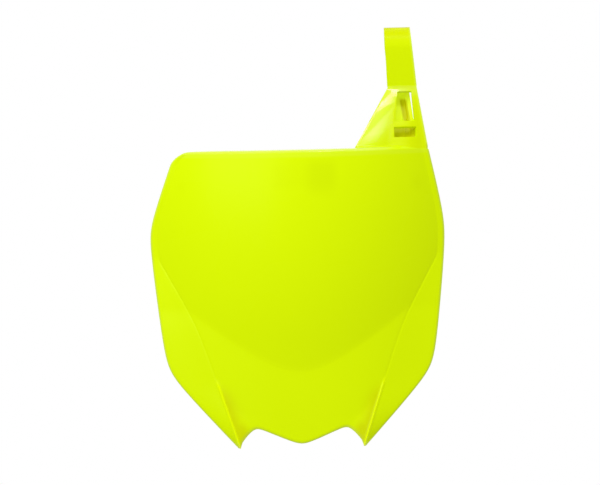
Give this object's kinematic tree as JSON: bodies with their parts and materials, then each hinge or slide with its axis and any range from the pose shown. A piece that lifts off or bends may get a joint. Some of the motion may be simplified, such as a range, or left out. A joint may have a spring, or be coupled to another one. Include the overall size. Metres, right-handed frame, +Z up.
{
  "type": "racing number board",
  "caption": "Curved front number board for a motocross bike, moulded with a slotted strap that loops over the handlebar.",
  "frame": {"origin": "on the handlebar's axis, in the middle of the strap's loop", "axes": "+X along the handlebar to the right as seen from the front, +Y to the back of the board, +Z up"},
  "size_m": [0.2399, 0.1184, 0.337],
  "materials": {
    "fluo_plastic": "gloss"
  },
  "bodies": {
    "root": {"number_board": "fluo_plastic"}
  },
  "joints": []
}
